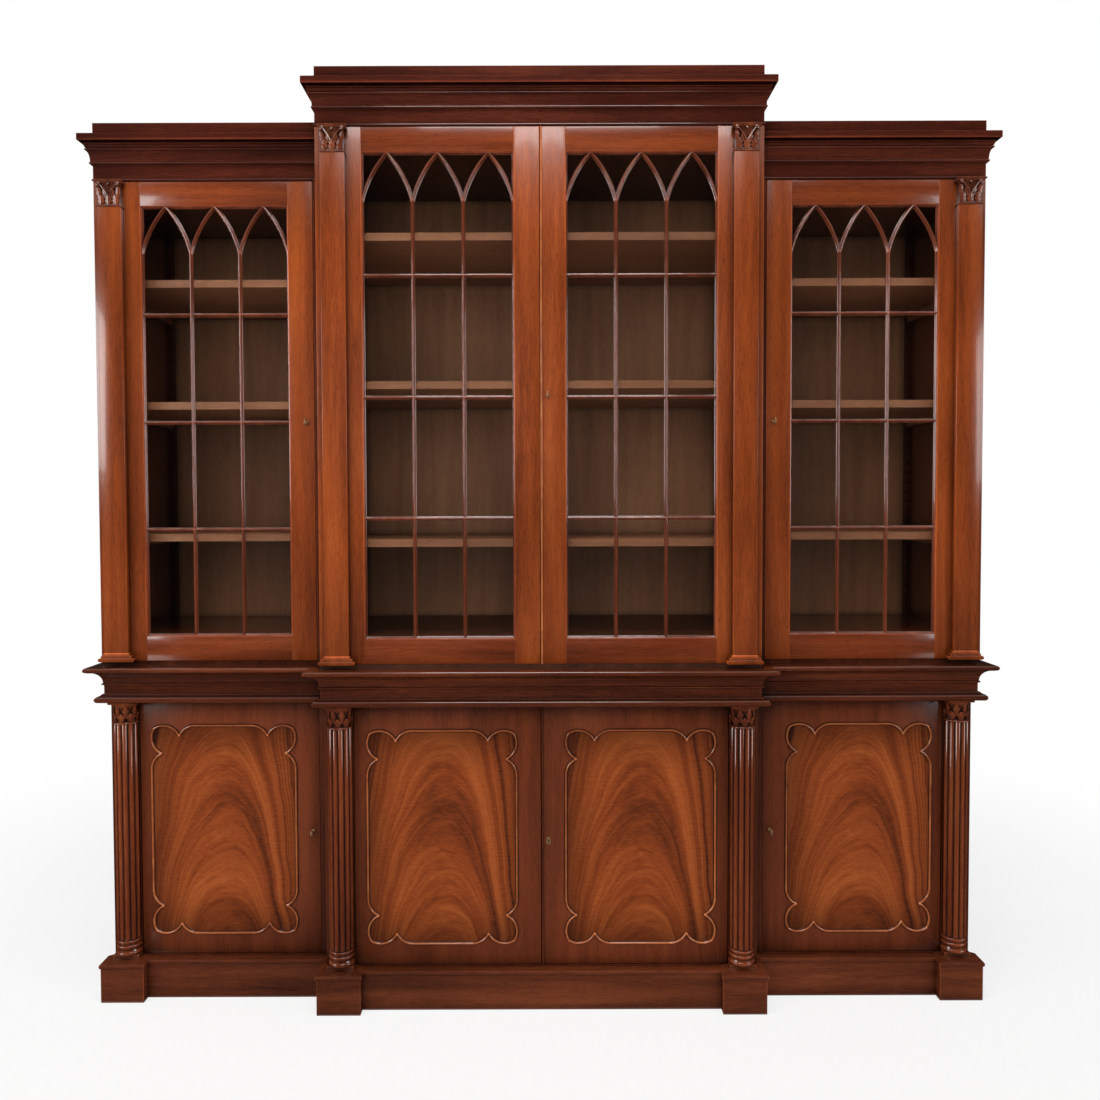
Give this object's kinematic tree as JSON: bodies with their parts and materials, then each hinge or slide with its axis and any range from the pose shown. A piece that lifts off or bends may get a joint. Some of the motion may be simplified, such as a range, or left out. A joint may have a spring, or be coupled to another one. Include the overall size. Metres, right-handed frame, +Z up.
{
  "type": "breakfront bookcase",
  "caption": "Mahogany breakfront bookcase: glazed doors with lancet bars over panelled doors with reeded columns.",
  "frame": {"origin": "under the middle of the bookcase, on the floor", "axes": "+X to the right seen from the front, +Y to the back, +Z up"},
  "size_m": [2.424, 0.546, 2.464],
  "materials": {
    "mahogany": "polished",
    "figured_mahogany": "polished",
    "shelf_wood": "satin",
    "back_panels": "matte",
    "glass": "clear",
    "brass": "aged",
    "steel": "satin"
  },
  "bodies": {
    "root": {"plinth": "mahogany", "lower_case": "mahogany", "waist": "mahogany", "column_middle_left": "mahogany", "column_wing_left": "mahogany", "column_middle_right": "mahogany", "column_wing_right": "mahogany", "lower_shelf_middle": "shelf_wood", "lower_shelf_left_wing": "shelf_wood", "lower_shelf_right_wing": "shelf_wood", "upper_case_middle": "mahogany", "upper_back_middle": "back_panels", "cornice_middle": "mahogany", "shelf_middle_low": "shelf_wood", "shelf_middle_middle": "shelf_wood", "shelf_middle_high": "shelf_wood", "upper_case_left_wing": "mahogany", "upper_back_left_wing": "back_panels", "cornice_left_wing": "mahogany", "shelf_left_wing_low": "shelf_wood", "shelf_left_wing_middle": "shelf_wood", "shelf_left_wing_high": "shelf_wood", "upper_case_right_wing": "mahogany", "upper_back_right_wing": "back_panels", "cornice_right_wing": "mahogany", "shelf_right_wing_low": "shelf_wood", "shelf_right_wing_middle": "shelf_wood", "shelf_right_wing_high": "shelf_wood"},
    "upper_door_left_wing": {"upper_door_left_wing": "mahogany", "glazing_bars_left_wing": "mahogany", "glass_left_wing": "glass", "pilaster_left_wing": "mahogany"},
    "lock_bolt_upper_left_wing": {"lock_bolt_upper_left_wing": "steel"},
    "key_upper_left_wing": {"key_upper_left_wing": "brass"},
    "upper_door_middle_left": {"upper_door_middle_left": "mahogany", "glazing_bars_middle_left": "mahogany", "glass_middle_left": "glass", "pilaster_middle_left": "mahogany"},
    "lower_door_left_wing": {"lower_door_left_wing": "figured_mahogany"},
    "lock_bolt_lower_left_wing": {"lock_bolt_lower_left_wing": "steel"},
    "key_lower_left_wing": {"key_lower_left_wing": "brass"},
    "lower_door_middle_left": {"lower_door_middle_left": "figured_mahogany"},
    "upper_door_right_wing": {"upper_door_right_wing": "mahogany", "glazing_bars_right_wing": "mahogany", "glass_right_wing": "glass", "pilaster_right_wing": "mahogany"},
    "lock_bolt_upper_right_wing": {"lock_bolt_upper_right_wing": "steel"},
    "key_upper_right_wing": {"key_upper_right_wing": "brass"},
    "upper_door_middle_right": {"upper_door_middle_right": "mahogany", "glazing_bars_middle_right": "mahogany", "glass_middle_right": "glass", "pilaster_middle_right": "mahogany"},
    "lock_bolt_upper_middle_right": {"lock_bolt_upper_middle_right": "steel"},
    "key_upper_middle_right": {"key_upper_middle_right": "brass"},
    "lower_door_right_wing": {"lower_door_right_wing": "figured_mahogany"},
    "lock_bolt_lower_right_wing": {"lock_bolt_lower_right_wing": "steel"},
    "key_lower_right_wing": {"key_lower_right_wing": "brass"},
    "lower_door_middle_right": {"lower_door_middle_right": "figured_mahogany", "escutcheon": "brass"},
    "lock_bolt_lower_middle_right": {"lock_bolt_lower_middle_right": "steel"}
  },
  "joints": [
    {"name": "hinge_upper_left_wing", "type": "hinge", "parent": "root", "child": "upper_door_left_wing", "pos_m": [-1.1795, -0.1515, 0.915], "axis": [0, 0, -1], "range_deg": [0, 90]},
    {"name": "slide_bolt_upper_left_wing", "type": "slide", "parent": "upper_door_left_wing", "child": "lock_bolt_upper_left_wing", "axis": [1, 0, 0], "range_m": [0, 0.01]},
    {"name": "turn_key_upper_left_wing", "type": "hinge", "parent": "upper_door_left_wing", "child": "key_upper_left_wing", "pos_m": [-0.622, -0.156, 1.555], "axis": [0, -1, 0], "range_deg": [0, 180]},
    {"name": "hinge_upper_middle_left", "type": "hinge", "parent": "root", "child": "upper_door_middle_left", "pos_m": [-0.5755, -0.2115, 0.915], "axis": [0, 0, -1], "range_deg": [0, 90]},
    {"name": "hinge_lower_left_wing", "type": "hinge", "parent": "root", "child": "lower_door_left_wing", "pos_m": [-1.0865, -0.1355, 0.105], "axis": [0, 0, -1], "range_deg": [0, 90]},
    {"name": "slide_bolt_lower_left_wing", "type": "slide", "parent": "lower_door_left_wing", "child": "lock_bolt_lower_left_wing", "axis": [1, 0, 0], "range_m": [0, 0.01]},
    {"name": "turn_key_lower_left_wing", "type": "hinge", "parent": "lower_door_left_wing", "child": "key_lower_left_wing", "pos_m": [-0.622, -0.14, 0.447], "axis": [0, -1, 0], "range_deg": [0, 180]},
    {"name": "hinge_lower_middle_left", "type": "hinge", "parent": "root", "child": "lower_door_middle_left", "pos_m": [-0.4915, -0.1955, 0.105], "axis": [0, 0, -1], "range_deg": [0, 90]},
    {"name": "hinge_upper_right_wing", "type": "hinge", "parent": "root", "child": "upper_door_right_wing", "pos_m": [1.1795, -0.1515, 0.915], "axis": [0, 0, 1], "range_deg": [0, 90]},
    {"name": "slide_bolt_upper_right_wing", "type": "slide", "parent": "upper_door_right_wing", "child": "lock_bolt_upper_right_wing", "axis": [-1, 0, 0], "range_m": [0, 0.01]},
    {"name": "turn_key_upper_right_wing", "type": "hinge", "parent": "upper_door_right_wing", "child": "key_upper_right_wing", "pos_m": [0.622, -0.156, 1.555], "axis": [0, -1, 0], "range_deg": [0, 180]},
    {"name": "hinge_upper_middle_right", "type": "hinge", "parent": "root", "child": "upper_door_middle_right", "pos_m": [0.5755, -0.2115, 0.915], "axis": [0, 0, 1], "range_deg": [0, 90]},
    {"name": "slide_bolt_upper_middle_right", "type": "slide", "parent": "upper_door_middle_right", "child": "lock_bolt_upper_middle_right", "axis": [-1, 0, 0], "range_m": [0, 0.01]},
    {"name": "turn_key_upper_middle_right", "type": "hinge", "parent": "upper_door_middle_right", "child": "key_upper_middle_right", "pos_m": [0.019, -0.216, 1.618], "axis": [0, -1, 0], "range_deg": [0, 180]},
    {"name": "hinge_lower_right_wing", "type": "hinge", "parent": "root", "child": "lower_door_right_wing", "pos_m": [1.0865, -0.1355, 0.105], "axis": [0, 0, 1], "range_deg": [0, 90]},
    {"name": "slide_bolt_lower_right_wing", "type": "slide", "parent": "lower_door_right_wing", "child": "lock_bolt_lower_right_wing", "axis": [-1, 0, 0], "range_m": [0, 0.01]},
    {"name": "turn_key_lower_right_wing", "type": "hinge", "parent": "lower_door_right_wing", "child": "key_lower_right_wing", "pos_m": [0.622, -0.14, 0.447], "axis": [0, -1, 0], "range_deg": [0, 180]},
    {"name": "hinge_lower_middle_right", "type": "hinge", "parent": "root", "child": "lower_door_middle_right", "pos_m": [0.4915, -0.1955, 0.105], "axis": [0, 0, 1], "range_deg": [0, 90]},
    {"name": "slide_bolt_lower_middle_right", "type": "slide", "parent": "lower_door_middle_right", "child": "lock_bolt_lower_middle_right", "axis": [-1, 0, 0], "range_m": [0, 0.01]}
  ],
  "couplings": [
    {"joint": "turn_key_upper_left_wing", "follows": "slide_bolt_upper_left_wing", "rad_per_m": 314.16},
    {"joint": "turn_key_lower_left_wing", "follows": "slide_bolt_lower_left_wing", "rad_per_m": 314.16},
    {"joint": "turn_key_upper_right_wing", "follows": "slide_bolt_upper_right_wing", "rad_per_m": 314.16},
    {"joint": "turn_key_upper_middle_right", "follows": "slide_bolt_upper_middle_right", "rad_per_m": 314.16},
    {"joint": "turn_key_lower_right_wing", "follows": "slide_bolt_lower_right_wing", "rad_per_m": 314.16}
  ]
}
